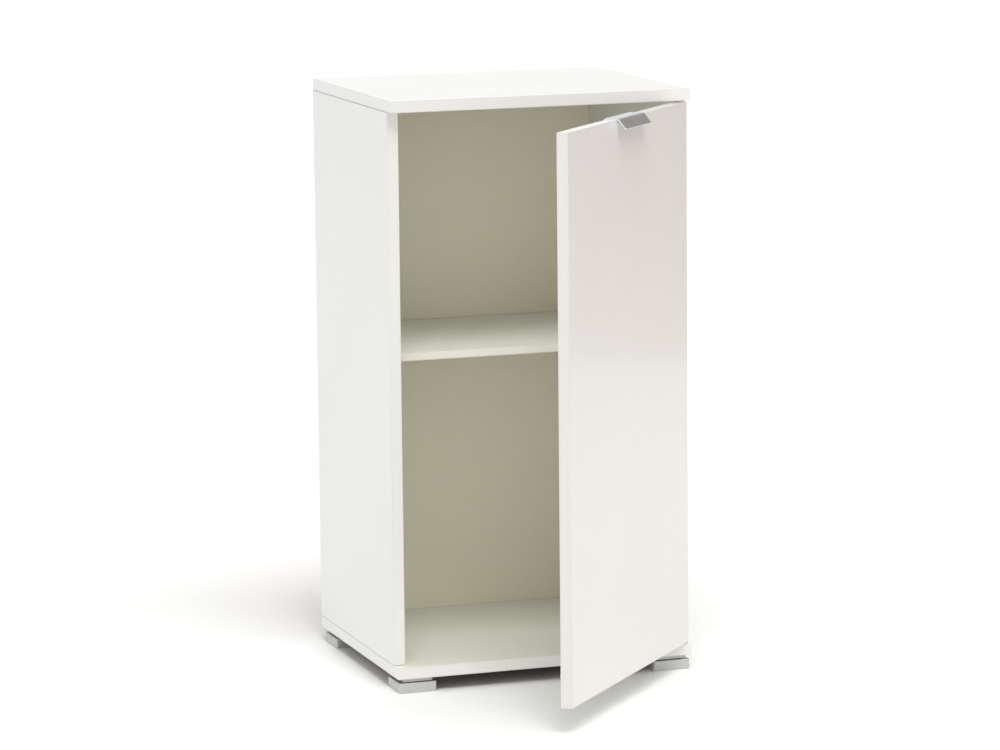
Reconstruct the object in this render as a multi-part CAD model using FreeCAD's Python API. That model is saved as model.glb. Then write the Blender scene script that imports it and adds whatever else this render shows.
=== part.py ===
import FreeCAD, Part
import math
import os

V = FreeCAD.Vector

# Small locker cabinet in melamine-faced chipboard with one door, one loose shelf and four feet.
# Millimetres. The origin is on the floor, under the middle of the carcass.
# +X is to the cabinet's right seen from the front, +Y goes back into it, +Z is up.

# ---- carcass ----
WIDTH = 400.0
DEPTH = 340.0
HEIGHT = 756.5
BOARD = 15.0                      # thickness of the outer boards and of the door
FOOT_HEIGHT = 18.5
BOARD_EDGE = 0.6                  # rounding of the edge bands
BACK_THICKNESS = 3.0
BACK_INSET = 332.0                # front face of the back panel, behind the cabinet's front
GROOVE_DEPTH = 6.0
GROOVE_FRONT_GAP = 0.5             # beside the back panel's front face, seen as a dark line
GROOVE_BACK_GAP = 0.1
BACK_PLAY = 0.5                   # the back panel stops this far short of the groove's bottom

# ---- door ----
DOOR_WIDTH = 396.0
HINGE_REVEAL = 1.5                # the closed door stays this far inside the right side's face
DOOR_GAP_BOTTOM = 1.0
DOOR_GAP_TOP = 2.0
DOOR_GAP_BACK = 1.5               # between the closed door and the side boards' front edges
DOOR_ANGLE = 47.7                 # degrees; the door stands open by this much

# ---- shelf ----
SHELF_THICKNESS = 10.0
SHELF_TOP = 428.5
SHELF_INSET = 58.5                # front edge behind the cabinet's front
SHELF_PLAY = 0.7                  # each side
SHELF_BACK_GAP = 2.0
PEG_RADIUS = 2.5
PEG_HOLE_DEPTH = 8.0
PEG_REACH = 8.0
PEG_ROUNDING = 0.8
PEG_SETBACK = 25.0                # from the shelf's front and back edges

# ---- joints between the boards ----
CAM_RADIUS = 7.5
CAM_DEPTH = 12.5
CAM_FROM_END = 24.0               # cam centre from the side board's end
CAM_ROWS = (45.0, 290.0)          # places of the cams behind the front
CAM_PLAY = 0.1
CAM_SINK = 0.2                    # the cam's face lies this far below the board's face
CAM_SLOT_LONG = 4.5               # half lengths and depth of the cam's cross slot
CAM_SLOT_SHORT = 0.8
CAM_SLOT_DEPTH = 2.0
DOWEL_ROWS = (77.0, 258.0)
DOWEL_RADIUS = 4.0
DOWEL_LENGTH = 30.0
DOWEL_CHAMFER = 0.8
BOARD_HOLE_DEPTH = 11.0
HOLE_END_PLAY = 0.5               # bolts, dowels and screws stop this far short of their holes' ends
BOLT_THREAD_RADIUS = 2.5
BOLT_HOLE_RADIUS = 2.55
BOLT_SHAFT_RADIUS = 3.4
BOLT_BORE_RADIUS = 3.75
BOLT_NECK_RADIUS = 1.8
BOLT_NECK_LENGTH = 6.0
BOLT_HEAD_LENGTH = 2.4
BOLT_HEAD_PLAY = 0.3

# ---- feet ----
FOOT_SIZE = 50.0
FOOT_CORNER = 3.0
FOOT_BLOCK = 13.2                 # height of the lower block
FOOT_RIM = 1.0                    # rounding of the block's top and bottom rims
FOOT_SHADOW_GAP = 1.6
FOOT_CORE_INSET = 9.0             # the core in the shadow gap, inside the block's faces
FOOT_NECK_SIDE = 5.0              # the neck is this much narrower than the block at each side
FOOT_NECK_FRONT = 1.5             # and this much at front and back
FOOT_FRONT_INSET = 1.0
FOOT_SIDE_INSET = 2.0
FOOT_BACK_INSET = 10.0
FOOT_SCREW_SPREAD = 13.0
FOOT_SCREW_SEAT = 6.0             # below the block's top
FOOT_RECESS_RADIUS = 3.8

# ---- screws: shank radius, length, head radius, head height ----
FOOT_SCREW = (1.6, FOOT_HEIGHT - FOOT_BLOCK + FOOT_SCREW_SEAT + BOARD_HOLE_DEPTH - HOLE_END_PLAY, 3.4, 2.2)
PLATE_SCREW = (1.8, 12.5, 3.4, 1.8)
ARM_SCREW = (1.6, 10.0, 3.2, 1.8)
ADJUST_SCREW = (1.6, 10.0, 2.6, 1.2)
CUP_SCREW = (1.8, 11.0, 3.6, 2.0)
PULL_SCREW = (1.5, 11.0, 2.9, 1.8)
SCREW_PASS = 0.2                  # extra radius of a hole that a screw passes through freely
SCREW_ROUNDING = 0.45             # rounding of a head's rim, as a share of its height
SCREW_CROSS = 0.22                # width of a cross slot, as a share of the head's radius

# ---- cup hinges ----
HINGE_FROM_END = 100.0            # hinge centre from the door's top and bottom ends
# Pivots with the door closed: x from the cabinet's middle, y behind its front.
OUTER_ON_ARM = (168.0, 38.5)
OUTER_ON_CUP = (190.4, 12.8)
OUTER_KNEE = (174.0, 9.4)
INNER_ON_ARM = (173.0, 18.3)
INNER_ON_CUP = (187.8, 9.7)
INNER_KNEE = (174.5, 6.5)
OUTER_TURN = -0.33                # turn of the outer link on the arm per degree of door
INNER_TURN = -0.49                # the same for the inner link
# The inner link's cup end is the linkage's open pivot: its eye is wide and set off a little.
SLACK_EYE_OFFSET = (-0.15, -0.05)
SLACK_EYE_RADIUS = 1.97
LINK_HALF_WIDTH = 1.5
LINK_WEB = (0.5, 0.8)             # start and end of the outer link's web, as shares of its leg
LINK_WEB_GAP = 1.2
LINK_WEB_SHEET = 0.8
PIN_RADIUS = 1.0
CUP_PIN_RADIUS = 0.9
CUP_PIN_BITE = 0.1                # how far the pins' middles go into the cup's wall
RUNNING = 0.05                    # radial clearance of a pin in a link
EYE_RADIUS = 1.9
SLACK_EYE_OUTER = 2.85
# Layers across a hinge, as heights above and below its middle.
INNER_LAYER = 2.4
ARM_LAYER = (2.7, 3.7)
OUTER_LAYER = (4.0, 5.0)
RIVET_HEAD = 0.5
RIVET_RIM = 0.6
PIN_END = 0.1                     # a pin's end stands this far past the layer it joins
CUP_FROM_EDGE = 21.0              # cup centre from the door's edge
CUP_RADIUS = 17.5
CUP_WALL = 0.9
CUP_DEPTH = 11.5
CUP_SCREW_SPREAD = 24.0
CUP_SCREW_OFFSET = 9.5
CUP_FLANGE = 1.2
CUP_FLANGE_EAR = 7.0              # flange past the screws' centres
CUP_FLANGE_END = 1.0              # its other side, from the cup's centre
CUP_FLANGE_CORNER = 6.0
PLATE_ROW = 53.5                  # screw row of the mounting plates, behind the front
PLATE_SCREW_SPREAD = 16.0
PLATE_BASE = 2.0
PLATE_HALF_DEPTH = 7.5
PLATE_EAR = 7.0                   # base past the screws' centres
PLATE_CORNER = 5.0
PLATE_RIB = 10.0
PLATE_RIB_HALF = 6.7
PLATE_RIB_ROWS = (44.5, 81.0)     # front and back of the rib, behind the front
RIB_WALL = 1.0                    # left between the arm screws' holes and the side board
ARM_NOSE = 2.3
ARM_FACE = 172.5                  # inner face of the arm's channel, from the cabinet's middle
ARM_SHEET = 1.5
ARM_HALF = 8.5
ARM_START = 43.0                  # front and back of the wide channel, behind the front
ARM_END = 82.0
ARM_NECK_FRONT = 36.0
ARM_CHEEK_OVERLAP = 2.0           # the nose's cheeks run this far into the channel
ARM_BRIDGE_X = (178.5, 180.0)     # bridge between the nose's cheeks
ARM_BRIDGE_ROWS = (30.0, 41.5)
ARM_PLAY = 0.3                    # between the arm's channel and the plate's base
ARM_SCREW_ROW = 72.0              # screw rows along the arm, behind the front
ADJUST_ROW = 50.0

# ---- edge pull ----
PULL_LENGTH = 84.0
PULL_SHEET = 1.5
PULL_SLOPE = 50.0                 # degrees; the lip falls this steeply
PULL_LIP = 13.0                   # straight part of the lip
PULL_BEND = 6.0                   # outer radius of the bend over the door's front
PULL_BACK_BEND = 1.2
PULL_FLANGE = 16.0
PULL_CORNER = 3.0
PULL_SCREW_SPREAD = 32.0

# ---- door buffers ----
BUFFER_RADIUS = 4.0
BUFFER_THICKNESS = 1.2
BUFFER_FROM_EDGE = 6.0
BUFFER_FROM_END = 40.0

# ---- places worked out from the dimensions above ----
HALF_WIDTH = WIDTH / 2
FRONT = -DEPTH / 2
REAR = DEPTH / 2
INSIDE = HALF_WIDTH - BOARD
FLOOR_BOARD_TOP = FOOT_HEIGHT + BOARD
ROOF = HEIGHT - BOARD
SIDE_FRONT = FRONT + BOARD + DOOR_GAP_BACK
BACK_FACE = FRONT + BACK_INSET
GROOVE_FRONT = BACK_FACE - GROOVE_FRONT_GAP
GROOVE_BACK = BACK_FACE + BACK_THICKNESS + GROOVE_BACK_GAP
DOOR_RIGHT = HALF_WIDTH - HINGE_REVEAL
DOOR_LEFT = DOOR_RIGHT - DOOR_WIDTH
DOOR_BOTTOM = FLOOR_BOARD_TOP + DOOR_GAP_BOTTOM
DOOR_TOP = ROOF - DOOR_GAP_TOP
DOOR_BACK = FRONT + BOARD
HINGE_HEIGHTS = {"lower": DOOR_BOTTOM + HINGE_FROM_END, "upper": DOOR_TOP - HINGE_FROM_END}
CUP_X = DOOR_RIGHT - CUP_FROM_EDGE
SIDES = {"left": -1, "right": 1}


# ---- helpers ----
def box(x0, x1, y0, y1, z0, z1):
    return Part.makeBox(x1 - x0, y1 - y0, z1 - z0, V(x0, y0, z0))


def rod(radius, start, end):
    along = V(*end) - V(*start)
    return Part.makeCylinder(radius, along.Length, V(*start), along)


def fuse(shapes):
    return shapes[0].multiFuse(shapes[1:]).removeSplitter()


def parallel_edges(shape, axis, test=None):
    """Straight edges along one axis, kept only where the test on their midpoint holds."""
    found = []
    for edge in shape.Edges:
        if len(edge.Vertexes) < 2 or not isinstance(edge.Curve, (Part.Line, Part.LineSegment)):
            continue
        run = edge.Vertexes[1].Point - edge.Vertexes[0].Point
        if run.cross(axis).Length > 1e-6:
            continue
        middle = (edge.Vertexes[1].Point + edge.Vertexes[0].Point) * 0.5
        if test is None or test(middle):
            found.append(edge)
    return found


def extrude_plan(points, z0, z1):
    """A prism over a closed outline of (x, y) points."""
    wire = Part.makePolygon([V(x, y, z0) for x, y in points] + [V(points[0][0], points[0][1], z0)])
    return Part.Face(wire).extrude(V(0, 0, z1 - z0))


def at(point):
    """A pivot given from the cabinet's front, as x and y in the model's frame."""
    return point[0], FRONT + point[1]


def strip(start, end, half_width, z0, z1):
    """A flat bar between two (x, y) points."""
    along = V(end[0] - start[0], end[1] - start[1], 0)
    along.normalize()
    across = V(-along.y, along.x, 0) * half_width
    corners = [(start[0] + across.x, start[1] + across.y), (end[0] + across.x, end[1] + across.y),
               (end[0] - across.x, end[1] - across.y), (start[0] - across.x, start[1] - across.y)]
    return extrude_plan(corners, z0, z1)


def disc(centre, radius, z0, z1):
    return rod(radius, (centre[0], centre[1], z0), (centre[0], centre[1], z1))


def turned(shape, centre, angle):
    """A copy of the shape turned about a vertical axis through (x, y)."""
    moved = shape.copy()
    moved.rotate(V(centre[0], centre[1], 0), V(0, 0, 1), angle)
    return moved


def door_pose(shape, angle):
    """Carries a shape from the closed door's place to where the hinge links put it."""
    on_link = turned(shape, at(OUTER_ON_CUP), (1 - OUTER_TURN) * angle)
    return turned(on_link, at(OUTER_ON_ARM), OUTER_TURN * angle)


def outer_link_pose(shape, angle):
    return turned(shape, at(OUTER_ON_ARM), OUTER_TURN * angle)


def inner_link_pose(shape, angle):
    return turned(shape, at(INNER_ON_ARM), INNER_TURN * angle)


def pan_screw(seat, inward, sizes):
    """A pan-head screw with a cross recess, its head standing on the seat point."""
    shank_radius, length, head_radius, head_height = sizes
    direction = V(*inward)
    base = V(*seat)
    shank = Part.makeCylinder(shank_radius, length, base, direction)
    head = Part.makeCylinder(head_radius, head_height, base, direction * -1)
    rim = [edge for edge in head.Edges
           if isinstance(edge.Curve, Part.Circle)
           and (edge.Curve.Center - base).Length > head_height / 2]
    head = head.makeFillet(head_height * SCREW_ROUNDING, rim)
    side = V(0, 0, 1) if abs(direction.z) < 0.5 else V(1, 0, 0)
    cross = direction.cross(side)
    top = base - direction * head_height
    width, depth = head_radius * SCREW_CROSS, head_height / 2
    slots = []
    for along, across in ((side, cross), (cross, side)):
        slot = Part.makeBox(1, 1, 1)
        placing = FreeCAD.Matrix(
            along.x * head_radius, across.x * width, direction.x * depth, 0,
            along.y * head_radius, across.y * width, direction.y * depth, 0,
            along.z * head_radius, across.z * width, direction.z * depth, 0,
            0, 0, 0, 1)
        slot = slot.transformGeometry(placing)
        slot.translate(top - along * head_radius / 2 - across * width / 2)
        slots.append(slot)
    return fuse([shank, head]).cut(slots[0]).cut(slots[1])


def save(name, solids):
    shape = solids if isinstance(solids, Part.Shape) else Part.makeCompound(solids)
    shape.exportStep("parts/" + name + ".step")


# ---- carcass boards ----
def rounded_board(shape):
    """Rounds the outer corners of a plain board, as its edge bands are."""
    return shape.makeFillet(BOARD_EDGE, shape.Edges)


def cam_places(side):
    """Bolt axis x, row y, and whether the joint is at the top, for one side board."""
    x = side * (HALF_WIDTH - BOARD / 2)
    return [(x, FRONT + row, end) for row in CAM_ROWS for end in ("top", "bottom")]


def dowel_places(side):
    x = side * (HALF_WIDTH - BOARD / 2)
    return [(x, FRONT + row, end) for row in DOWEL_ROWS for end in ("top", "bottom")]


def joint_height(end):
    """Height of the joint face and the direction from the side board into the other board."""
    return (ROOF, 1) if end == "top" else (FLOOR_BOARD_TOP, -1)


def horizontal_board(z0, end):
    board = rounded_board(box(-HALF_WIDTH, HALF_WIDTH, FRONT, REAR, z0, z0 + BOARD))
    face, up = joint_height(end)
    span = INSIDE + GROOVE_DEPTH
    low, high = sorted((face, face + up * GROOVE_DEPTH))
    board = board.cut(box(-span, span, GROOVE_FRONT, GROOVE_BACK, low, high))
    for side in SIDES.values():
        for x, y, where in cam_places(side):
            if where == end:
                board = board.cut(rod(BOLT_HOLE_RADIUS, (x, y, face),
                                      (x, y, face + up * BOARD_HOLE_DEPTH)))
        for x, y, where in dowel_places(side):
            if where == end:
                board = board.cut(rod(DOWEL_RADIUS, (x, y, face), (x, y, face + up * BOARD_HOLE_DEPTH)))
    return board


def foot_centres():
    centres = {}
    for side_name, side in SIDES.items():
        x = side * (HALF_WIDTH - FOOT_SIDE_INSET - FOOT_SIZE / 2)
        centres["front_" + side_name] = (x, FRONT + FOOT_FRONT_INSET + FOOT_SIZE / 2)
        centres["back_" + side_name] = (x, REAR - FOOT_BACK_INSET - FOOT_SIZE / 2)
    return centres


def foot_screw_places():
    return [(x + across * FOOT_SCREW_SPREAD, y + across * FOOT_SCREW_SPREAD)
            for x, y in foot_centres().values() for across in (-1, 1)]


def bottom_board():
    board = horizontal_board(FOOT_HEIGHT, "bottom")
    for x, y in foot_screw_places():
        board = board.cut(rod(FOOT_SCREW[0], (x, y, FOOT_HEIGHT), (x, y, FOOT_HEIGHT + BOARD_HOLE_DEPTH)))
    return board


def peg_places():
    height = SHELF_TOP - SHELF_THICKNESS - PEG_RADIUS
    rows = (FRONT + SHELF_INSET + PEG_SETBACK, BACK_FACE - PEG_SETBACK)
    return [(side, y, height) for side in SIDES.values() for y in rows]


def side_board(side):
    inner, outer = side * INSIDE, side * HALF_WIDTH
    board = box(min(inner, outer), max(inner, outer), SIDE_FRONT, REAR, FLOOR_BOARD_TOP, ROOF)
    board = rounded_board(board)
    low, high = sorted((inner, inner + side * GROOVE_DEPTH))
    board = board.cut(box(low, high, GROOVE_FRONT, GROOVE_BACK, FLOOR_BOARD_TOP, ROOF))
    for x, y, end in cam_places(side):
        face, up = joint_height(end)
        cam_z = face - up * CAM_FROM_END
        board = board.cut(rod(CAM_RADIUS, (inner, y, cam_z), (inner + side * CAM_DEPTH, y, cam_z)))
        board = board.cut(rod(BOLT_BORE_RADIUS, (x, y, face), (x, y, cam_z)))
    for x, y, end in dowel_places(side):
        face, up = joint_height(end)
        depth = DOWEL_LENGTH - BOARD_HOLE_DEPTH + 4 * HOLE_END_PLAY
        board = board.cut(rod(DOWEL_RADIUS, (x, y, face), (x, y, face - up * depth)))
    for where, y, z in peg_places():
        if where == side:
            board = board.cut(rod(PEG_RADIUS, (inner, y, z), (inner + side * PEG_HOLE_DEPTH, y, z)))
    if side == SIDES["right"]:
        for z in HINGE_HEIGHTS.values():
            for up in (-1, 1):
                at_z = z + up * PLATE_SCREW_SPREAD
                board = board.cut(rod(PLATE_SCREW[0], (inner, FRONT + PLATE_ROW, at_z),
                                      (inner + BOARD_HOLE_DEPTH, FRONT + PLATE_ROW, at_z)))
    return board


def back_panel():
    span = INSIDE + GROOVE_DEPTH - BACK_PLAY
    lift = GROOVE_DEPTH - BACK_PLAY
    return box(-span, span, BACK_FACE, BACK_FACE + BACK_THICKNESS,
               FLOOR_BOARD_TOP - lift, ROOF + lift)


def cam_lock(x, y, cam_z, side, up):
    """A cam disc with a cross slot in its face and a pocket for the bolt's head."""
    face_x = side * (INSIDE + CAM_SINK)
    body = rod(CAM_RADIUS - CAM_PLAY, (face_x, y, cam_z), (side * (INSIDE + CAM_DEPTH), y, cam_z))
    pocket_end = cam_z - up * (BOLT_HEAD_LENGTH + BOLT_HEAD_PLAY)
    body = body.cut(rod(BOLT_SHAFT_RADIUS + BOLT_HEAD_PLAY, (x, y, pocket_end),
                        (x, y, cam_z + up * CAM_RADIUS)))
    low, high = sorted((face_x, face_x + side * CAM_SLOT_DEPTH))
    for dy, dz in ((CAM_SLOT_LONG, CAM_SLOT_SHORT), (CAM_SLOT_SHORT, CAM_SLOT_LONG)):
        body = body.cut(box(low, high, y - dy, y + dy, cam_z - dz, cam_z + dz))
    return body


def cam_bolt(x, y, face, up):
    """Thread in the flat board, shaft through the side board's end, head held in the cam."""
    def along(distance):
        return x, y, face + up * distance

    thread = rod(BOLT_THREAD_RADIUS, along(0), along(BOARD_HOLE_DEPTH - HOLE_END_PLAY))
    shaft = rod(BOLT_SHAFT_RADIUS, along(0), along(BOLT_NECK_LENGTH - CAM_FROM_END))
    neck = rod(BOLT_NECK_RADIUS, along(BOLT_NECK_LENGTH - CAM_FROM_END), along(-CAM_FROM_END))
    head = rod(BOLT_SHAFT_RADIUS, along(-CAM_FROM_END), along(-CAM_FROM_END - BOLT_HEAD_LENGTH))
    return fuse([thread, shaft, neck, head])


def dowel(x, y, face, up):
    reach = BOARD_HOLE_DEPTH - HOLE_END_PLAY
    peg = rod(DOWEL_RADIUS, (x, y, face + up * (reach - DOWEL_LENGTH)), (x, y, face + up * reach))
    ends = [edge for edge in peg.Edges if isinstance(edge.Curve, Part.Circle)]
    return peg.makeChamfer(DOWEL_CHAMFER, ends)


def joint_fittings():
    locks, bolts, dowels = [], [], []
    for side in SIDES.values():
        for x, y, end in cam_places(side):
            face, up = joint_height(end)
            locks.append(cam_lock(x, y, face - up * CAM_FROM_END, side, up))
            bolts.append(cam_bolt(x, y, face, up))
        for x, y, end in dowel_places(side):
            dowels.append(dowel(x, y, *joint_height(end)))
    save("cam_locks", locks)
    save("cam_bolts", bolts)
    save("dowels", dowels)


# ---- shelf ----
def shelf():
    span = INSIDE - SHELF_PLAY
    back = BACK_FACE - SHELF_BACK_GAP
    board = box(-span, span, FRONT + SHELF_INSET, back, SHELF_TOP - SHELF_THICKNESS, SHELF_TOP)
    return rounded_board(board)


def shelf_pegs():
    pegs = []
    for side, y, z in peg_places():
        inner = side * INSIDE
        pin = rod(PEG_RADIUS, (inner + side * PEG_HOLE_DEPTH, y, z), (inner - side * PEG_REACH, y, z))
        ends = [edge for edge in pin.Edges
                if isinstance(edge.Curve, Part.Circle) and edge.Curve.Center.x * side < INSIDE]
        pegs.append(pin.makeFillet(PEG_ROUNDING, ends))
    return pegs


# ---- feet ----
def rounded_block(half_x, half_y, corner, z0, z1, centre):
    x, y = centre
    block = box(x - half_x, x + half_x, y - half_y, y + half_y, z0, z1)
    return block.makeFillet(corner, parallel_edges(block, V(0, 0, 1)))


def foot(centre):
    half = FOOT_SIZE / 2
    block = rounded_block(half, half, FOOT_CORNER, 0, FOOT_BLOCK, centre)
    rims = [edge for edge in block.Edges
            if all(min(abs(v.Z), abs(v.Z - FOOT_BLOCK)) < 1e-6 for v in edge.Vertexes)
            and abs(edge.Vertexes[0].Z - edge.Vertexes[-1].Z) < 1e-6]
    block = block.makeFillet(FOOT_RIM, rims)
    inset, core_top = half - FOOT_CORE_INSET, FOOT_BLOCK + FOOT_SHADOW_GAP
    body = fuse([block, rounded_block(inset, inset, FOOT_CORNER, FOOT_BLOCK, core_top, centre)])
    for x, y in foot_screw_holes(centre):
        body = body.cut(rod(FOOT_SCREW[0] + SCREW_PASS, (x, y, -1), (x, y, core_top + 1)))
        body = body.cut(rod(FOOT_RECESS_RADIUS, (x, y, -1), (x, y, FOOT_BLOCK - FOOT_SCREW_SEAT)))
    return body


def foot_neck(centre):
    half = FOOT_SIZE / 2
    low = FOOT_BLOCK + FOOT_SHADOW_GAP
    body = rounded_block(half - FOOT_NECK_SIDE, half - FOOT_NECK_FRONT, FOOT_CORNER - 1.0,
                         low, FOOT_HEIGHT, centre)
    for x, y in foot_screw_holes(centre):
        body = body.cut(rod(FOOT_SCREW[0] + SCREW_PASS, (x, y, low - 1), (x, y, FOOT_HEIGHT + 1)))
    return body


def foot_screw_holes(centre):
    return [(centre[0] + across * FOOT_SCREW_SPREAD, centre[1] + across * FOOT_SCREW_SPREAD)
            for across in (-1, 1)]


def feet():
    for name, centre in foot_centres().items():
        save(name + "_foot", foot(centre))
        save(name + "_foot_neck", foot_neck(centre))
    save("foot_screws", [pan_screw((x, y, FOOT_BLOCK - FOOT_SCREW_SEAT), (0, 0, 1), FOOT_SCREW)
                         for x, y in foot_screw_places()])


# ---- hinges ----
def link_plate(ends, knee, half_width, eyes, z0, z1):
    """An L-shaped link: two strips that meet at a knee, with a round eye at each end."""
    start, end = ends
    pieces = [strip(start, knee, half_width, z0, z1), strip(knee, end, half_width, z0, z1),
              disc(knee, half_width, z0, z1)]
    for centre, radius in eyes:
        pieces.append(disc(centre, radius, z0, z1))
    return fuse(pieces)


def outer_link(z):
    """Two cheeks joined by a web on the side away from the arm."""
    on_arm, on_cup, knee = at(OUTER_ON_ARM), at(OUTER_ON_CUP), at(OUTER_KNEE)
    low, high = OUTER_LAYER
    eyes = ((on_arm, EYE_RADIUS), (on_cup, EYE_RADIUS))
    pieces = [link_plate((on_cup, on_arm), knee, LINK_HALF_WIDTH, eyes, z + z0, z + z1)
              for z0, z1 in ((low, high), (-high, -low))]
    leg = V(on_arm[0] - knee[0], on_arm[1] - knee[1], 0)
    web_start, web_end = (V(knee[0], knee[1], 0) + leg * share for share in LINK_WEB)
    away = V(-leg.y, leg.x, 0)
    away.normalize()
    near = away * (EYE_RADIUS + LINK_WEB_GAP)
    far = near + away * LINK_WEB_SHEET
    web = [web_start + near, web_end + near, web_end + far, web_start + far]
    lug = [web_start, web_end, web_end + far, web_start + far]
    pieces.append(extrude_plan([(p.x, p.y) for p in web], z - high, z + high))
    for z0, z1 in ((low, high), (-high, -low)):
        pieces.append(extrude_plan([(p.x, p.y) for p in lug], z + z0, z + z1))
    link = fuse(pieces)
    for centre in (on_arm, on_cup):
        link = link.cut(disc(centre, PIN_RADIUS + RUNNING, z - high - 1, z + high + 1))
    return link


def inner_link(z):
    on_arm, on_cup, knee = at(INNER_ON_ARM), at(INNER_ON_CUP), at(INNER_KNEE)
    slack = (on_cup[0] + SLACK_EYE_OFFSET[0], on_cup[1] + SLACK_EYE_OFFSET[1])
    eyes = ((on_arm, EYE_RADIUS), (slack, SLACK_EYE_OUTER))
    link = link_plate((slack, on_arm), knee, LINK_HALF_WIDTH, eyes, z - INNER_LAYER, z + INNER_LAYER)
    link = link.cut(disc(on_arm, PIN_RADIUS + RUNNING, z - INNER_LAYER - 1, z + INNER_LAYER + 1))
    return link.cut(disc(slack, SLACK_EYE_RADIUS, z - INNER_LAYER - 1, z + INNER_LAYER + 1))


def hinge_arm(z):
    """Narrow nose with the two link pivots, and a wide channel over the mounting plate."""
    outer_pivot, inner_pivot = at(OUTER_ON_ARM), at(INNER_ON_ARM)
    web_x0, web_x1 = ARM_FACE, ARM_FACE + ARM_SHEET
    start, end = FRONT + ARM_START, FRONT + ARM_END
    bridge_start, bridge_end = (FRONT + row for row in ARM_BRIDGE_ROWS)
    bridge_x0, bridge_x1 = ARM_BRIDGE_X
    pieces = [box(web_x0, web_x1, start, end, z - ARM_HALF, z + ARM_HALF)]
    pieces.append(box(web_x0, web_x1, FRONT + ARM_NECK_FRONT, start, z - ARM_LAYER[1], z + ARM_LAYER[1]))
    for up in (-1, 1):
        low, high = sorted((z + up * (ARM_HALF - ARM_SHEET), z + up * ARM_HALF))
        pieces.append(box(web_x0, INSIDE - PLATE_BASE - ARM_PLAY, start, end, low, high))
        low, high = sorted((z + up * ARM_LAYER[0], z + up * ARM_LAYER[1]))
        pieces.append(disc(outer_pivot, ARM_NOSE, low, high))
        pieces.append(disc(inner_pivot, ARM_NOSE, low, high))
        pieces.append(strip(inner_pivot, outer_pivot, ARM_NOSE, low, high))
        root = start + ARM_CHEEK_OVERLAP
        cheek = [inner_pivot, (inner_pivot[0] + ARM_NOSE, inner_pivot[1]), (bridge_x1, bridge_start),
                 (bridge_x1, bridge_end), (web_x1, root), (web_x0, root), outer_pivot]
        pieces.append(extrude_plan(cheek, low, high))
    pieces.append(box(bridge_x0, bridge_x1, bridge_start, bridge_end, z - ARM_LAYER[1], z + ARM_LAYER[1]))
    arm = fuse(pieces)
    for pivot in (outer_pivot, inner_pivot):
        arm = arm.cut(disc(pivot, PIN_RADIUS, z - OUTER_LAYER[1], z + OUTER_LAYER[1]))
    for row, screw in ((ARM_SCREW_ROW, ARM_SCREW), (ADJUST_ROW, ADJUST_SCREW)):
        hole = rod(screw[0] + SCREW_PASS, (web_x0 - 1, FRONT + row, z), (web_x1 + 0.1, FRONT + row, z))
        arm = arm.cut(hole)
    return arm


def mounting_plate(z):
    """Winged base screwed to the side board, with a rib that the arm's channel covers."""
    rib_x = INSIDE - PLATE_RIB
    row = FRONT + PLATE_ROW
    half_height = PLATE_SCREW_SPREAD + PLATE_EAR
    base = box(INSIDE - PLATE_BASE, INSIDE, row - PLATE_HALF_DEPTH, row + PLATE_HALF_DEPTH,
               z - half_height, z + half_height)
    base = base.makeFillet(PLATE_CORNER, parallel_edges(base, V(1, 0, 0)))
    rib = box(rib_x, INSIDE, FRONT + PLATE_RIB_ROWS[0], FRONT + PLATE_RIB_ROWS[1],
              z - PLATE_RIB_HALF, z + PLATE_RIB_HALF)
    plate = fuse([base, rib])
    for up in (-1, 1):
        at_z = z + up * PLATE_SCREW_SPREAD
        plate = plate.cut(rod(PLATE_SCREW[0] + SCREW_PASS, (rib_x, row, at_z), (INSIDE + 1, row, at_z)))
    for place, screw in ((ARM_SCREW_ROW, ARM_SCREW), (ADJUST_ROW, ADJUST_SCREW)):
        plate = plate.cut(rod(screw[0], (rib_x - 1, FRONT + place, z), (INSIDE - RIB_WALL, FRONT + place, z)))
    return plate


def arm_pins(z):
    """Riveted pins of both links: the outer one passes through arm and link."""
    reach = OUTER_LAYER[1] + PIN_END
    pins = [disc(at(OUTER_ON_ARM), PIN_RADIUS, z - reach, z + reach)]
    for up in (-1, 1):
        low, high = sorted((z + up * reach, z + up * (reach + RIVET_HEAD)))
        pins.append(disc(at(OUTER_ON_ARM), PIN_RADIUS + RIVET_RIM, low, high))
    return [fuse(pins), disc(at(INNER_ON_ARM), PIN_RADIUS, z - ARM_LAYER[1], z + ARM_LAYER[1])]


def cup_pin_reach(point, radius):
    """Half the length of a pin that spans the cup at this x."""
    offset = abs(point[0] - CUP_X)
    return math.sqrt(radius ** 2 - offset ** 2)


def cup_pins(z):
    """Two short pins for the outer link, so the arm can pass between them, and one long pin."""
    inner_radius = CUP_RADIUS - CUP_WALL
    reach = cup_pin_reach(OUTER_ON_CUP, inner_radius) + CUP_PIN_BITE
    pins = []
    for up in (-1, 1):
        low, high = sorted((z + up * (OUTER_LAYER[0] - PIN_END), z + up * reach))
        pins.append(disc(at(OUTER_ON_CUP), PIN_RADIUS, low, high))
    reach = cup_pin_reach(INNER_ON_CUP, inner_radius) + CUP_PIN_BITE
    pins.append(disc(at(INNER_ON_CUP), CUP_PIN_RADIUS, z - reach, z + reach))
    return pins


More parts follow.
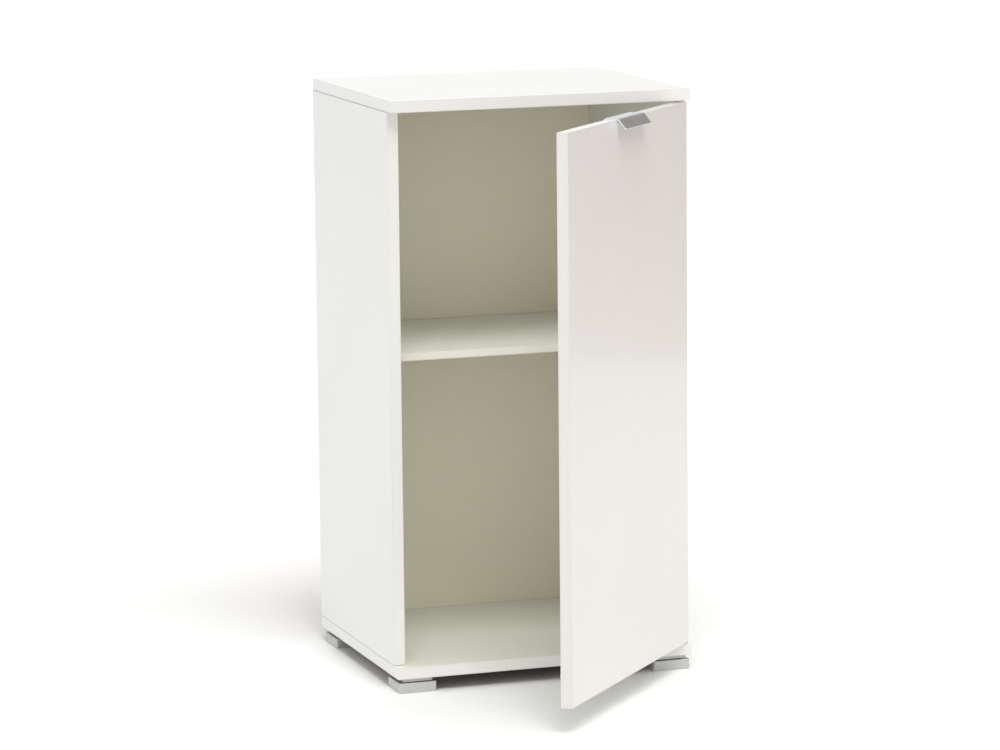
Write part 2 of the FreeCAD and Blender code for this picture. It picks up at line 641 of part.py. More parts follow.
def hinge_cup(z):
    """Pressed cup sunk in the door, with a screw flange on the door's back face."""
    bottom = DOOR_BACK - CUP_DEPTH
    shell = rod(CUP_RADIUS, (CUP_X, bottom, z), (CUP_X, DOOR_BACK, z))
    flange_half = CUP_SCREW_SPREAD + CUP_FLANGE_EAR
    flange = box(CUP_X - CUP_SCREW_OFFSET - CUP_FLANGE_EAR, CUP_X - CUP_FLANGE_END,
                 DOOR_BACK, DOOR_BACK + CUP_FLANGE, z - flange_half, z + flange_half)
    flange = flange.makeFillet(CUP_FLANGE_CORNER, parallel_edges(flange, V(0, 1, 0)))
    cup = fuse([shell, flange])
    cup = cup.cut(rod(CUP_RADIUS - CUP_WALL, (CUP_X, bottom + CUP_WALL, z),
                      (CUP_X, DOOR_BACK + CUP_FLANGE + 1, z)))
    for pin in cup_pins(z):
        cup = cup.cut(pin)
    for up in (-1, 1):
        at_z = z + up * CUP_SCREW_SPREAD
        x = CUP_X - CUP_SCREW_OFFSET
        cup = cup.cut(rod(CUP_SCREW[0] + SCREW_PASS, (x, DOOR_BACK - 1, at_z),
                          (x, DOOR_BACK + CUP_FLANGE + 1, at_z)))
    return cup


# ---- door ----
def door_panel():
    panel = rounded_board(box(DOOR_LEFT, DOOR_RIGHT, FRONT, DOOR_BACK, DOOR_BOTTOM, DOOR_TOP))
    for z in HINGE_HEIGHTS.values():
        panel = panel.cut(rod(CUP_RADIUS, (CUP_X, DOOR_BACK - CUP_DEPTH, z), (CUP_X, DOOR_BACK + 1, z)))
        for up in (-1, 1):
            x, at_z = CUP_X - CUP_SCREW_OFFSET, z + up * CUP_SCREW_SPREAD
            panel = panel.cut(screw_hole(CUP_SCREW, x, at_z))
    for x, z in pull_screw_places():
        panel = panel.cut(screw_hole(PULL_SCREW, x, z))
    return panel


def screw_hole(screw, x, z):
    """A pilot hole in the door's back face."""
    return rod(screw[0], (x, DOOR_BACK - BOARD_HOLE_DEPTH, z), (x, DOOR_BACK + 1, z))


def pull_middle():
    return (DOOR_LEFT + DOOR_RIGHT) / 2


def pull_screw_places():
    z = DOOR_TOP - PULL_FLANGE / 2
    return [(pull_middle() + across * PULL_SCREW_SPREAD / 2, z) for across in (-1, 1)]


def edge_pull():
    """Bent sheet over the door's top edge: back flange, flat top and a lip sloping out and down."""
    top = DOOR_TOP + PULL_SHEET
    back = DOOR_BACK + PULL_SHEET
    slope = math.radians(PULL_SLOPE)
    down_lip = V(0, -math.cos(slope), -math.sin(slope))
    through = V(0, math.sin(slope), -math.cos(slope)) * PULL_SHEET
    bend_reach = PULL_BEND * math.tan(slope / 2)
    inner_bend = PULL_BEND - PULL_SHEET
    crease = V(0, FRONT - bend_reach, top)
    inner_crease = V(0, FRONT - inner_bend * math.tan(slope / 2), DOOR_TOP)
    tip = crease + down_lip * (bend_reach + PULL_LIP)
    outline = [V(0, back, DOOR_TOP - PULL_FLANGE), V(0, back, top), crease, tip, tip + through,
               inner_crease, V(0, DOOR_BACK, DOOR_TOP), V(0, DOOR_BACK, DOOR_TOP - PULL_FLANGE)]
    x0 = pull_middle() - PULL_LENGTH / 2
    wire = Part.makePolygon([p + V(x0, 0, 0) for p in outline] + [outline[0] + V(x0, 0, 0)])
    pull = Part.Face(wire).extrude(V(PULL_LENGTH, 0, 0))
    for corner, radius in ((outline[1], PULL_BACK_BEND), (crease, PULL_BEND), (inner_crease, inner_bend)):
        pull = pull.makeFillet(radius, parallel_edges(
            pull, V(1, 0, 0), lambda m: abs(m.y - corner.y) + abs(m.z - corner.z) < 1e-6))
    lip_ends = [edge for edge in pull.Edges
                if all(abs(v.Point.sub(tip).dot(down_lip)) < 1e-6 for v in edge.Vertexes)
                and abs(edge.Vertexes[0].X - edge.Vertexes[-1].X) < 1e-6]
    pull = pull.makeFillet(PULL_CORNER, lip_ends)
    for x, z in pull_screw_places():
        pull = pull.cut(rod(PULL_SCREW[0] + SCREW_PASS, (x, DOOR_BACK - 1, z), (x, back + 1, z)))
    return pull


def door_buffers():
    x = DOOR_LEFT + BUFFER_FROM_EDGE
    return [rod(BUFFER_RADIUS, (x, DOOR_BACK, z), (x, DOOR_BACK + BUFFER_THICKNESS, z))
            for z in (DOOR_BOTTOM + BUFFER_FROM_END, DOOR_TOP - BUFFER_FROM_END)]


def door_parts():
    back = (0, -1, 0)
    shapes = {"door_panel": [door_panel()], "edge_pull": [edge_pull()], "door_buffers": door_buffers()}
    shapes["edge_pull_screws"] = [pan_screw((x, DOOR_BACK + PULL_SHEET, z), back, PULL_SCREW)
                                  for x, z in pull_screw_places()]
    pins, screws = [], []
    for name, z in HINGE_HEIGHTS.items():
        shapes[name + "_hinge_cup"] = [hinge_cup(z)]
        pins += cup_pins(z)
        screws += [pan_screw((CUP_X - CUP_SCREW_OFFSET, DOOR_BACK + CUP_FLANGE, z + up * CUP_SCREW_SPREAD),
                             back, CUP_SCREW) for up in (-1, 1)]
    shapes["hinge_cup_pins"] = pins
    shapes["hinge_cup_screws"] = screws
    for name, solids in shapes.items():
        save(name, [door_pose(solid, DOOR_ANGLE) for solid in solids])


def hinges():
    pins, plate_screws, arm_screws, adjusters = [], [], [], []
    out = (1, 0, 0)
    for name, z in HINGE_HEIGHTS.items():
        save(name + "_hinge_arm", hinge_arm(z))
        save(name + "_mounting_plate", mounting_plate(z))
        save(name + "_outer_link", outer_link_pose(outer_link(z), DOOR_ANGLE))
        save(name + "_inner_link", inner_link_pose(inner_link(z), DOOR_ANGLE))
        pins += arm_pins(z)
        row = FRONT + PLATE_ROW
        plate_screws += [pan_screw((INSIDE - PLATE_BASE, row, z + up * PLATE_SCREW_SPREAD),
                                   out, PLATE_SCREW) for up in (-1, 1)]
        arm_screws.append(pan_screw((ARM_FACE, FRONT + ARM_SCREW_ROW, z), out, ARM_SCREW))
        adjusters.append(pan_screw((ARM_FACE, FRONT + ADJUST_ROW, z), out, ADJUST_SCREW))
    save("hinge_arm_pins", pins)
    save("mounting_plate_screws", plate_screws)
    save("arm_fixing_screws", arm_screws)
    save("arm_adjusting_screws", adjusters)


# ---- the whole cabinet ----
os.makedirs("parts", exist_ok=True)
save("top_board", horizontal_board(ROOF, "top"))
save("bottom_board", bottom_board())
save("left_side", side_board(SIDES["left"]))
save("right_side", side_board(SIDES["right"]))
save("back_panel", back_panel())
joint_fittings()
save("shelf", shelf())
save("shelf_pegs", shelf_pegs())
feet()
hinges()
door_parts()
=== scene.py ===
import math
import bpy
from mathutils import Matrix, Vector


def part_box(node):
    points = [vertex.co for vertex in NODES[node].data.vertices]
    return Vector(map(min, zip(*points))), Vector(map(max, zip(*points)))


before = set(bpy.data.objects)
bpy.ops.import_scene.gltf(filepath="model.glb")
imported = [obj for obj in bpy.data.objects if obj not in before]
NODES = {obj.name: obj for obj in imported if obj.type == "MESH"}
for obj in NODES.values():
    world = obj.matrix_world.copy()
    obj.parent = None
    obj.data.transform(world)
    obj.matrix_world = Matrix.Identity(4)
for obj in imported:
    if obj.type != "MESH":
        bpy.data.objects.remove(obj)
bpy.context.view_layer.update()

# ---------------------------------------------------------------- sizes and angles, in metres
DOOR_ANGLE = math.radians(47.7)          # the door stands open by this much
BAND = 0.0009                            # thickness of the glued edge bands
BAND_LINE = 0.0002                       # half width of the glue line beside a band
FACE_SKIN = 0.0008                       # depth of the melamine face over the chipboard core
SKIN_FADE = 0.0002                       # the face gives way to the core over this depth
WORN_WIDTH = 0.0011                      # rubbing reaches this far from an edge
END_LINE = 0.00045                       # unbanded board end that shows in a joint
UNDER_MARGIN = 0.0015                    # the bottom board's underside is painted dark brown as shade under the cabinet; this stops this far from its edges
PANEL_RIM = (0.0012, 0.0009)             # the back panel's coat fades to bare fibre between these
SCUFF_HEIGHT = 0.004                     # scuffs reach this far up a foot
FOOT_HIGHLIGHT_RIM = 0.0009                        # width of a foot's painted highlight along its edges

CAMERA_PLACE = (-1.8091, -5.2937, 1.2841)
CAMERA_YAW = -0.3291                     # from +Y, turning left
CAMERA_PITCH = -0.1613
CAMERA_ROLL = -0.0099
CAMERA_LENS = 155.8
SENSOR = 36.0

# ---------------------------------------------------------------- colours
WHITE = (0.84, 0.837, 0.82)
# the door's white is the boards' melamine set darker and warmer: painted shade and painted warm reflection
DOOR_SHADED_WARM_WHITE = (0.805, 0.789, 0.75)
INSIDE_SHADED_WHITE = (0.86, 0.862, 0.795)      # the faces turned to the inside are a little creamier: painted warm shade of the interior
# the tint that paints the interior's warm shade onto the faces turned to the inside
INSIDE_SHADE_TINT = tuple(inner / outer for inner, outer in zip(INSIDE_SHADED_WHITE, WHITE))
NO_TINT = (1.0, 1.0, 1.0)
FRONT_BAND_SHADE = (0.95, 0.94, 0.925)         # tint of the glued edge bands on the boards' front and back edges, darker as painted shade
SIDE_BAND_SHADE = (0.98, 0.98, 0.98)           # tint of the faces that look sideways, darker as painted shade
# the door's free and hinge edges made darker: painted shade
DOOR_SIDE_BAND_SHADE = (0.88, 0.88, 0.88)
# the back panel's white coat, tinted cream: painted warm shade of the interior
BACK_SHADED_CREAM = (0.885, 0.855, 0.70)
CHIPBOARD = (0.46, 0.33, 0.20)
FIBRE_BROWN = (0.36, 0.235, 0.135)       # raw fibreboard: the back panel's outer face and cut edges
FOOT_SILVER = (0.56, 0.56, 0.555)
NECK_SILVER = (0.50, 0.50, 0.49)
# bluish silver: a painted reflection tint that offsets the brown card's reflection in the pull
PULL_REFLECTION_TINTED_SILVER = (0.83, 0.87, 0.93)
NICKEL = (0.70, 0.685, 0.65)
CAST_NICKEL = (0.62, 0.61, 0.58)
ZINC = (0.66, 0.66, 0.66)
STEEL = (0.72, 0.72, 0.72)
BEECH_DARK, BEECH_LIGHT, BEECH_LINE = (0.50, 0.33, 0.17), (0.66, 0.48, 0.28), (0.30, 0.18, 0.09)
CLEAR_PLASTIC, DUSTY_PLASTIC = (0.74, 0.74, 0.71), (0.52, 0.51, 0.47)
FLOOR_DARK, FLOOR_LIGHT = (0.975, 0.975, 0.973), (0.990, 0.990, 0.988)
CARD_FOOT, CARD_TOP = (0.50, 0.42, 0.33), (0.16, 0.10, 0.055)
STUDIO = (1.0, 0.993, 0.98, 1.0)
STUDIO_STRENGTH = 0.47

# ---------------------------------------------------------------- noises: scale per metre, detail, roughness
MIDDLE = (0.3, 0.7)                      # most of a noise's values lie between these
PEARL = (1100.0, 3.0, 0.6)               # fine structure pressed into the melamine
CLOUD = (5.0, 3.0, 0.5)                  # slow drift of tone over a board
SMUDGE = (22.0, 4.0, 0.65)               # wiped patches, duller or glossier
WEAR = (160.0, 4.0, 0.7)                 # places where an edge is rubbed
WAVE = (34.0, 2.0, 0.5)                  # slight waviness of a pressed board
FIBRE = (420.0, 5.0, 0.65)
PANEL_CLOUD = (4.0, 3.0, 0.5)
METAL_PATCH = (60.0, 4.0, 0.6)
METAL_SPOT = (300.0, 2.0, 0.5)
PAINT_GRAIN = (1500.0, 2.0, 0.5)
PAINT_CLOUD = (45.0, 3.0, 0.6)
SCUFF = (260.0, 5.0, 0.7)
RINGS = (260.0, 4.0, 0.6)
PORES = (1600.0, 2.0, 0.5)
PLASTIC_GRAIN = (1300.0, 2.0, 0.5)
DUST = (350.0, 5.0, 0.7)
FLOOR_GRAIN = (60.0, 4.0, 0.6)

# ---------------------------------------------------------------- lights
# Name, azimuth from the front towards the right, elevation, strength, spread in degrees, colour.
SUNS = (
    ("main", -8.0, 62.0, 1.55, 30.0, (1.0, 1.0, 1.0)),
    ("door_side", 42.0, 47.0, 0.36, 24.0, (1.0, 0.98, 0.95)),
    ("left_fill", -82.0, 28.0, 0.60, 70.0, (0.97, 0.99, 1.0)),
    ("front_fill", -14.0, 14.0, 0.30, 40.0, (1.0, 0.99, 0.93)),
    ("back_light", 161.0, 12.0, 0.34, 50.0, (1.0, 1.0, 1.0)),
)


# ---------------------------------------------------------------- node helpers
class Graph:
    """A material's node tree with short calls for the nodes used here."""

    def __init__(self, name):
        self.material = bpy.data.materials.new(name)
        self.material.use_nodes = True
        self.tree = self.material.node_tree
        self.tree.nodes.clear()
        self.shader = self.tree.nodes.new("ShaderNodeBsdfPrincipled")
        output = self.tree.nodes.new("ShaderNodeOutputMaterial")
        self.tree.links.new(self.shader.outputs["BSDF"], output.inputs["Surface"])

    def link(self, source, node, socket):
        if isinstance(source, (int, float)):
            node.inputs[socket].default_value = source
        elif isinstance(source, (tuple, Vector)):
            values = tuple(source)
            size = len(node.inputs[socket].default_value)
            node.inputs[socket].default_value = values + (1.0,) * (size - len(values))
        else:
            self.tree.links.new(source, node.inputs[socket])

    def math(self, operation, a, b=0.0, c=0.0):
        node = self.tree.nodes.new("ShaderNodeMath")
        node.operation = operation
        for index, value in enumerate((a, b, c)):
            self.link(value, node, index)
        return node.outputs[0]

    def vector(self, operation, a, b):
        node = self.tree.nodes.new("ShaderNodeVectorMath")
        node.operation = operation
        self.link(a, node, 0)
        self.link(b, node, 1)
        return node.outputs[0]

    def coordinates(self):
        return self.tree.nodes.new("ShaderNodeTexCoord").outputs["Object"]

    def local(self, centre, angle):
        """Coordinates from the piece's middle, along its own edges."""
        moved = self.vector("SUBTRACT", self.coordinates(), centre)
        turn = self.tree.nodes.new("ShaderNodeVectorRotate")
        turn.rotation_type = "Z_AXIS"
        turn.inputs["Angle"].default_value = -angle
        self.tree.links.new(moved, turn.inputs["Vector"])
        return turn.outputs[0]

    def split(self, vector):
        node = self.tree.nodes.new("ShaderNodeSeparateXYZ")
        self.tree.links.new(vector, node.inputs[0])
        return node.outputs

    def noise(self, vector, scale, detail, roughness, stretch=(1.0, 1.0, 1.0)):
        node = self.tree.nodes.new("ShaderNodeTexNoise")
        node.inputs["Scale"].default_value = scale
        node.inputs["Detail"].default_value = detail
        node.inputs["Roughness"].default_value = roughness
        source = vector if stretch == (1.0, 1.0, 1.0) else self.vector("MULTIPLY", vector, stretch)
        self.tree.links.new(source, node.inputs["Vector"])
        return node.outputs["Fac"]

    def cells(self, vector, scale):
        node = self.tree.nodes.new("ShaderNodeTexVoronoi")
        node.inputs["Scale"].default_value = scale
        self.tree.links.new(vector, node.inputs["Vector"])
        return node.outputs["Distance"], node.outputs["Color"]

    def range(self, value, low, high, to_low=0.0, to_high=1.0):
        node = self.tree.nodes.new("ShaderNodeMapRange")
        self.link(value, node, "Value")
        numbers = {"From Min": low, "From Max": high, "To Min": to_low, "To Max": to_high}
        for socket, number in numbers.items():
            node.inputs[socket].default_value = number
        return node.outputs[0]

    def mix(self, factor, a, b):
        node = self.tree.nodes.new("ShaderNodeMix")
        node.data_type = "RGBA"
        self.link(factor, node, 0)
        self.link(a, node, 6)
        self.link(b, node, 7)
        return node.outputs[2]

    def bump(self, height, strength, distance, below=None):
        node = self.tree.nodes.new("ShaderNodeBump")
        node.inputs["Strength"].default_value = strength
        node.inputs["Distance"].default_value = distance
        self.tree.links.new(height, node.inputs["Height"])
        if below is not None:
            self.tree.links.new(below, node.inputs["Normal"])
        return node.outputs[0]

    def finish(self, color, roughness, normal=None, metallic=0.0, **sockets):
        self.link(color, self.shader, "Base Color")
        self.link(roughness, self.shader, "Roughness")
        self.shader.inputs["Metallic"].default_value = metallic
        if normal is not None:
            self.tree.links.new(normal, self.shader.inputs["Normal"])
        for socket, value in sockets.items():
            self.shader.inputs[socket.replace("_", " ")].default_value = value
        return self.material


def shade(color, factor):
    """A colour made darker or lighter by one factor."""
    return tuple(channel * factor for channel in color)


def piece_frame(node, angle=0.0):
    """A node's middle and half sizes along its own edges, from its box at rest."""
    low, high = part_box(node)
    centre, size = (low + high) / 2, high - low
    if angle:
        c, s = math.cos(angle), math.sin(angle)
        width = (size.x * c - size.y * s) / (c * c - s * s)
        depth = (size.y * c - size.x * s) / (c * c - s * s)
        size = Vector((width, depth, size.z))
    return centre, size / 2


# ---------------------------------------------------------------- materials
def edge_distances(graph, local, half):
    """Depth below the nearest face, and distance from the nearest edge, of a box-shaped board."""
    x, y, z = graph.split(local)
    gaps = [graph.math("SUBTRACT", size, graph.math("ABSOLUTE", value))
            for size, value in zip(half, (x, y, z))]
    least = graph.math("MINIMUM", graph.math("MINIMUM", gaps[0], gaps[1]), gaps[2])
    most = graph.math("MAXIMUM", graph.math("MAXIMUM", gaps[0], gaps[1]), gaps[2])
    total = graph.math("ADD", graph.math("ADD", gaps[0], gaps[1]), gaps[2])
    middle = graph.math("SUBTRACT", graph.math("SUBTRACT", total, least), most)
    return least, middle


def melamine(name, node, color, roughness, angle=0.0, gloss=0.0, grain=0.28, side_band_shade=SIDE_BAND_SHADE,
             front_band_shade=FRONT_BAND_SHADE, bare_ends=False, dark_shade_under=False, inside=(0.0, 0.0)):
    """White melamine on chipboard: pearl texture, glued edge bands and sideways faces darkened as painted
    shade, worn corners, raw core in the holes.

    inside gives the sign of the x face and of the z face that look into the cabinet, or 0 for neither; those
    faces take the painted warm shade tint.
    """
    graph = Graph(name)
    centre, half = piece_frame(node, angle)
    local = graph.local(centre, angle)
    depth, edge = edge_distances(graph, local, half)
    x, y, z = graph.split(local)

    pearl = graph.noise(local, *PEARL)
    cloud = graph.noise(local, *CLOUD)
    tone = graph.mix(graph.range(cloud, *MIDDLE), shade(color, 0.985), shade(color, 1.01))
    tone = graph.mix(graph.range(pearl, 0.35, 0.65, to_high=0.10), tone, shade(color, 0.95))
    # painted warm shade: the faces that look into the cabinet are tinted creamier
    for value, size, side in ((x, half.x, inside[0]), (z, half.z, inside[1])):
        if side:
            inner = graph.math("GREATER_THAN", graph.math("MULTIPLY", value, side), size - FACE_SKIN)
            tone = graph.mix(inner, tone, graph.vector("MULTIPLY", tone, INSIDE_SHADE_TINT))
    # painted shade: the faces that look sideways and the front and back edge bands are darkened by their
    # tints
    for value, size, tint in ((x, half.x, side_band_shade), (y, half.y, front_band_shade)):
        on_shaded_band = graph.math("GREATER_THAN", graph.math("ABSOLUTE", value), size - BAND)
        tone = graph.mix(on_shaded_band, tone, graph.vector("MULTIPLY", tone, tint))
    if bare_ends:
        end = graph.math("GREATER_THAN", graph.math("ABSOLUTE", z), half.z - END_LINE)
        tone = graph.mix(end, tone, shade(CHIPBOARD, 0.45))
    # painted shade: the bottom board's underside is made dark brown so the floor beneath the cabinet lies in
    # deeper shade
    if dark_shade_under:
        under = graph.math("LESS_THAN", z, FACE_SKIN - half.z)
        shaded_underside = graph.math("GREATER_THAN", edge, UNDER_MARGIN)
        tone = graph.mix(graph.math("MULTIPLY", under, shaded_underside), tone, shade(CHIPBOARD, 0.30))

    line = graph.math("COMPARE", edge, BAND, BAND_LINE)
    tone = graph.mix(graph.math("MULTIPLY", line, 0.6), tone, shade(color, 0.72))
    near_edge = graph.range(edge, 0.0, WORN_WIDTH, to_low=1.0, to_high=0.0)
    rubbed = graph.math("MULTIPLY", near_edge, graph.range(graph.noise(local, *WEAR), 0.52, 0.66))
    tone = graph.mix(graph.math("MULTIPLY", rubbed, 0.30), tone, shade(color, 0.86))

    flake_edge, flake = graph.cells(graph.vector("MULTIPLY", local, (1.0, 1.0, 1.8)), scale=520.0)
    wood = graph.mix(graph.range(flake_edge, 0.1, 0.8), shade(CHIPBOARD, 0.65), shade(CHIPBOARD, 1.25))
    wood = graph.mix(0.25, wood, flake)
    raw = graph.range(depth, FACE_SKIN, FACE_SKIN + SKIN_FADE)
    tone = graph.mix(raw, tone, graph.mix(0.75, wood, CHIPBOARD))

    rough = graph.range(graph.noise(local, *SMUDGE), *MIDDLE, to_low=roughness, to_high=roughness + 0.07)
    rough = graph.math("ADD", rough, graph.math("MULTIPLY", rubbed, 0.12))
    rough = graph.math("MAXIMUM", rough, graph.math("MULTIPLY", raw, 0.9))
    normal = graph.bump(pearl, strength=grain, distance=0.00008)
    normal = graph.bump(graph.noise(local, *WAVE), strength=0.06, distance=0.0004, below=normal)
    normal = graph.bump(graph.math("SUBTRACT", 1.0, line), strength=0.5, distance=0.00008, below=normal)
    return graph.finish(tone, rough, normal, Coat_Weight=gloss, Coat_Roughness=0.09,
                        Specular_IOR_Level=0.5)


def hardboard(name, node):
    """Thin fibreboard: a flat white coat, tinted cream as painted warm shade of the interior, over fine
    fibres inside, bare brown outside and at the edges.
    """
    graph = Graph(name)
    centre, half = piece_frame(node)
    local = graph.local(centre, 0.0)
    edge = edge_distances(graph, local, half)[1]
    fibre = graph.noise(local, *FIBRE, stretch=(1.0, 1.0, 0.45))
    cloud = graph.noise(local, *PANEL_CLOUD)
    # the coat's cream colour is painted warm shade of the interior
    tone = graph.mix(graph.range(cloud, *MIDDLE), shade(BACK_SHADED_CREAM, 0.97), shade(BACK_SHADED_CREAM, 1.02))
    tone = graph.mix(graph.range(fibre, 0.45, 0.75, to_high=0.18), tone, shade(BACK_SHADED_CREAM, 0.86))
    outside = graph.math("GREATER_THAN", graph.split(local)[1], half.y - BAND)
    bare = graph.math("MAXIMUM", outside, graph.range(edge, *PANEL_RIM))
    brown = graph.mix(graph.range(fibre, 0.35, 0.65), shade(FIBRE_BROWN, 0.78), shade(FIBRE_BROWN, 1.15))
    brown = graph.mix(graph.range(cloud, *MIDDLE), brown, shade(FIBRE_BROWN, 0.92))
    tone = graph.mix(bare, tone, brown)
    rough = graph.range(fibre, *MIDDLE, to_low=0.42, to_high=0.58)
    return graph.finish(tone, rough, graph.bump(fibre, strength=0.22, distance=0.00012))


def metal(name, color, roughness, stretch=(1.0, 1.0, 1.0), scale=900.0, angle=0.0, centre=(0, 0, 0),
          streak=0.14, blotch=0.06, grain=0.12):
    """Worked metal: fine streaks along one direction, slight blotches and rubbed brighter spots."""
    graph = Graph(name)
    local = graph.local(centre, angle)
    lines = graph.noise(local, scale, detail=4.0, roughness=0.6, stretch=stretch)
    patches = graph.noise(local, *METAL_PATCH)
    spots = graph.noise(local, *METAL_SPOT)
    tone = graph.mix(graph.range(lines, *MIDDLE), shade(color, 1.0 - streak), color)
    tone = graph.mix(graph.range(patches, 0.4, 0.7), tone, shade(color, 1.0 - blotch))
    tone = graph.mix(graph.range(spots, 0.62, 0.75, to_high=0.5), tone, shade(color, 1.12))
    rough = graph.range(lines, 0.25, 0.75, to_low=roughness, to_high=roughness + 0.12)
    rough = graph.math("ADD", rough, graph.range(patches, *MIDDLE, to_high=0.06))
    return graph.finish(tone, rough, graph.bump(lines, strength=grain, distance=0.00006), metallic=1.0)


def silver_paint(name, color, roughness, node):
    """Silver-painted plastic: tiny flakes, soft grain, scuffs low down where the feet meet the floor, and a
    painted highlight along the edges.
    """
    graph = Graph(name)
    centre, half = piece_frame(node)
    local = graph.local(centre, 0.0)
    edge = edge_distances(graph, local, half)[1]
    grain = graph.noise(local, *PAINT_GRAIN)
    tone = graph.mix(graph.range(graph.cells(local, scale=2600.0)[0], 0.1, 0.6),
                     shade(color, 1.08), shade(color, 0.94))
    tone = graph.mix(graph.range(graph.noise(local, *PAINT_CLOUD), 0.35, 0.7), tone, shade(color, 0.95))
    low = graph.range(graph.split(local)[2], -half.z, SCUFF_HEIGHT - half.z, to_low=1.0, to_high=0.0)
    scuff = graph.noise(local, *SCUFF, stretch=(1.0, 1.0, 3.0))
    scuffed = graph.math("MULTIPLY", low, graph.range(scuff, 0.5, 0.62))
    tone = graph.mix(graph.math("MULTIPLY", scuffed, 0.5), tone, shade(color, 0.6))
    # painted highlight: the colour is lightened along the foot's edges
    highlight_rim = graph.math("MULTIPLY", graph.range(edge, 0.0, FOOT_HIGHLIGHT_RIM, to_low=1.0, to_high=0.0), 0.35)
    tone = graph.mix(highlight_rim, tone, shade(color, 1.2))
    rough = graph.range(grain, *MIDDLE, to_low=roughness - 0.05, to_high=roughness + 0.07)
    rough = graph.math("ADD", rough, graph.math("MULTIPLY", scuffed, 0.2))
    return graph.finish(tone, rough, graph.bump(grain, strength=0.18, distance=0.00006), metallic=0.35)


def beech(name):
    """Turned beech pegs: faint rings along the grain and short dark pores."""
    graph = Graph(name)
    local = graph.coordinates()
    rings = graph.noise(local, *RINGS, stretch=(1.0, 1.0, 0.08))
    pores = graph.noise(local, *PORES, stretch=(1.0, 1.0, 0.15))
    tone = graph.mix(graph.range(rings, *MIDDLE), BEECH_DARK, BEECH_LIGHT)
    tone = graph.mix(graph.range(pores, 0.6, 0.7, to_high=0.6), tone, BEECH_LINE)
    rough = graph.range(pores, *MIDDLE, to_low=0.55, to_high=0.75)
    return graph.finish(tone, rough, graph.bump(rings, strength=0.3, distance=0.0002))


def soft_plastic(name):
    """Clear soft plastic with a little dust."""
    graph = Graph(name)
    local = graph.coordinates()
    grain = graph.noise(local, *PLASTIC_GRAIN)
    tone = graph.mix(graph.range(graph.noise(local, *DUST), 0.5, 0.7, to_high=0.5),
                     CLEAR_PLASTIC, DUSTY_PLASTIC)
    rough = graph.range(grain, *MIDDLE, to_low=0.22, to_high=0.36)
    return graph.finish(tone, rough, graph.bump(grain, strength=0.1, distance=0.00005),
                        Transmission_Weight=0.35, IOR=1.45)


def put(material, *names):
    """The material on every slot of the named nodes' objects."""
    for name in names:
        slots = NODES[name].data.materials
        if not slots:
            slots.append(material)
        for index in range(len(slots)):
            slots[index] = material


def finish_boards():
    # faces of each board that take the painted warm shade of the interior
    inside = {"top_board": (0.0, -1.0), "bottom_board": (0.0, 1.0),
              "left_side": (1.0, 0.0), "right_side": (-1.0, 0.0)}
    for node, faces in inside.items():
        put(melamine("melamine_" + node, node, WHITE, 0.34, bare_ends=node.endswith("side"),
                     dark_shade_under=node == "bottom_board", inside=faces), node)
    # the shelf takes the inside white: painted warm shade of the interior
    put(melamine("melamine_shelf", "shelf", INSIDE_SHADED_WHITE, 0.34), "shelf")
    # the door: a darker, warmer white (painted shade and painted warm reflection) and darker side edges
    # (painted shade)
    put(melamine("melamine_door", "door_panel", DOOR_SHADED_WARM_WHITE, 0.30, DOOR_ANGLE, gloss=0.6, grain=0.12,
                 side_band_shade=DOOR_SIDE_BAND_SHADE, front_band_shade=NO_TINT), "door_panel")
    put(hardboard("hardboard_back", "back_panel"), "back_panel")


def finish_feet():
    for corner in ("front_left", "front_right", "back_left", "back_right"):
        foot, neck = corner + "_foot", corner + "_foot_neck"
        put(silver_paint("silver_" + corner, FOOT_SILVER, 0.38, foot), foot)
        put(silver_paint("neck_" + corner, NECK_SILVER, 0.42, neck), neck)


def finish_metal():
    centre = piece_frame("edge_pull", DOOR_ANGLE)[0]
    # the pull's bluish silver is a painted reflection tint
    put(metal("anodised_pull", PULL_REFLECTION_TINTED_SILVER, 0.34, (0.05, 1.0, 1.0), 1400.0, DOOR_ANGLE, centre,
              streak=0.06, blotch=0.03, grain=0.07), "edge_pull")
    nickel = metal("nickel_pressing", NICKEL, 0.29, (0.25, 1.0, 1.0), 700.0)
    casting = metal("nickel_casting", CAST_NICKEL, 0.36, grain=0.2, scale=1500.0)
    zinc = metal("zinc_screws", ZINC, 0.30, scale=2200.0)
    steel = metal("bright_pins", STEEL, 0.29, (1.0, 1.0, 0.1), 900.0, streak=0.06)
    for level in ("upper", "lower"):
        put(nickel, level + "_hinge_arm", level + "_hinge_cup")
        put(nickel, level + "_outer_link", level + "_inner_link")
        put(casting, level + "_mounting_plate")
    put(steel, "hinge_arm_pins", "hinge_cup_pins", "shelf_pegs")
    put(zinc, "hinge_cup_screws", "mounting_plate_screws", "arm_fixing_screws", "arm_adjusting_screws",
        "edge_pull_screws", "foot_screws", "cam_bolts")
    put(casting, "cam_locks")
    put(beech("beech_dowels"), "dowels")
    put(soft_plastic("clear_buffers"), "door_buffers")


# ---------------------------------------------------------------- camera, floor and light
def make_camera():
    data = bpy.data.cameras.new("camera")
    data.sensor_width = SENSOR
    data.lens = CAMERA_LENS
    data.clip_end = 60.0
    camera = bpy.data.objects.new("camera", data)
    bpy.context.scene.collection.objects.link(camera)
    aim = Matrix.Rotation(CAMERA_YAW, 4, "Z") @ Matrix.Rotation(math.pi / 2 + CAMERA_PITCH, 4, "X")
    camera.matrix_world = Matrix.Translation(CAMERA_PLACE) @ aim @ Matrix.Rotation(CAMERA_ROLL, 4, "Z")
    bpy.context.scene.camera = camera


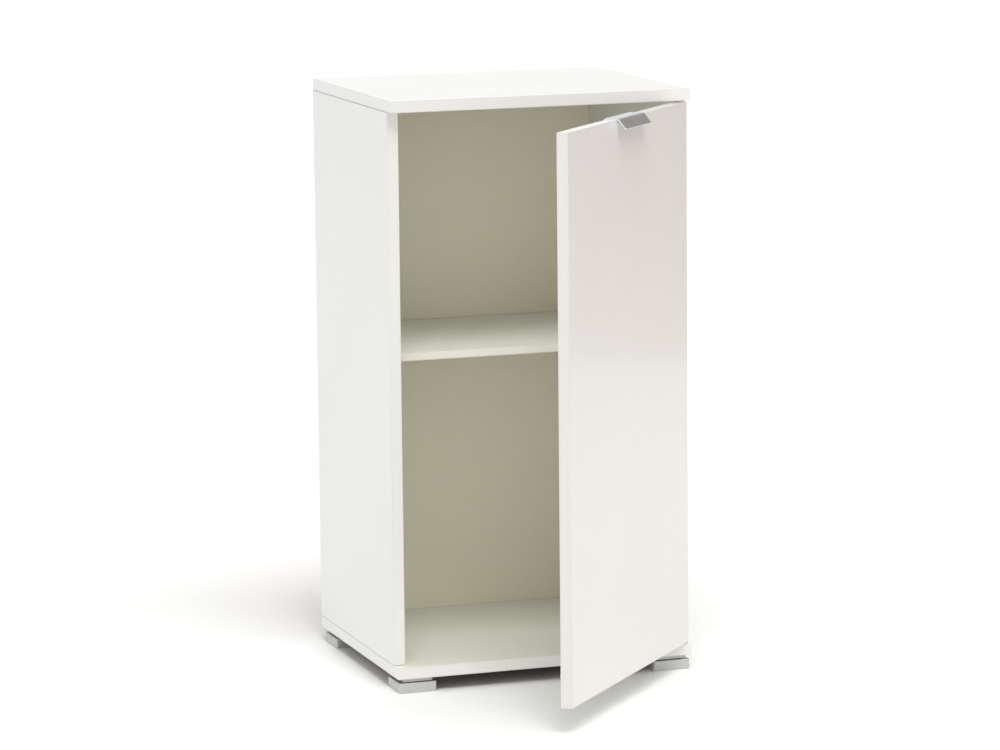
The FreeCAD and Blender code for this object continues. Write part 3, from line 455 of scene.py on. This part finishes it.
def make_floor():
    """A plain pale disc, wide enough that its rim stays out of sight."""
    radius, corners = 14.0, 48
    mesh = bpy.data.meshes.new("floor")
    turns = [2 * math.pi * index / corners for index in range(corners)]
    points = [(radius * math.cos(turn), radius * math.sin(turn), 0.0) for turn in turns]
    mesh.from_pydata(points, [], [list(range(corners))])
    floor = bpy.data.objects.new("floor", mesh)
    bpy.context.scene.collection.objects.link(floor)
    graph = Graph("pale_floor")
    grain = graph.noise(graph.coordinates(), *FLOOR_GRAIN)
    tone = graph.mix(graph.range(grain, *MIDDLE), FLOOR_DARK, FLOOR_LIGHT)
    mesh.materials.append(graph.finish(tone, 0.7, Specular_IOR_Level=0.2))


def make_world():
    world = bpy.data.worlds.new("studio")
    bpy.context.scene.world = world
    world.use_nodes = True
    background = world.node_tree.nodes["Background"]
    background.inputs["Color"].default_value = STUDIO
    background.inputs["Strength"].default_value = STUDIO_STRENGTH


def make_suns():
    """Soft far lights."""
    for name, azimuth, elevation, strength, spread, color in SUNS:
        data = bpy.data.lights.new(name, "SUN")
        data.energy = strength
        data.angle = math.radians(spread)
        data.color = color
        light = bpy.data.objects.new(name, data)
        bpy.context.scene.collection.objects.link(light)
        a, e = math.radians(azimuth), math.radians(elevation)
        towards = Vector((math.sin(a) * math.cos(e), -math.cos(a) * math.cos(e), math.sin(e)))
        light.rotation_mode = "QUATERNION"
        light.rotation_quaternion = towards.to_track_quat("Z", "Y")


def make_flag():
    """A brown card off to the right, beyond the door, seen only as a reflection in its gloss."""
    distance, bearing, half_width, top = 2.6, math.radians(32.0), 1.5, 2.3
    fade_height = 0.5
    middle = Vector((math.cos(bearing), math.sin(bearing), 0.0)) * distance
    across = Vector((-math.sin(bearing), math.cos(bearing), 0.0)) * half_width
    mesh = bpy.data.meshes.new("flag")
    corners = [middle - across, middle + across]
    corners += [corner + Vector((0.0, 0.0, top)) for corner in reversed(corners)]
    mesh.from_pydata(corners, [], [(0, 1, 2, 3)])
    flag = bpy.data.objects.new("flag", mesh)
    bpy.context.scene.collection.objects.link(flag)
    graph = Graph("brown_card")
    height = graph.split(graph.coordinates())[2]
    tone = graph.mix(graph.range(height, 0.0, fade_height), CARD_FOOT, CARD_TOP)
    mesh.materials.append(graph.finish(tone, 0.9))
    flag.visible_camera = flag.visible_diffuse = flag.visible_shadow = False


finish_boards()
finish_feet()
finish_metal()
make_camera()
make_floor()
make_world()
make_suns()
make_flag()
bpy.context.scene.view_settings.view_transform = "Standard"
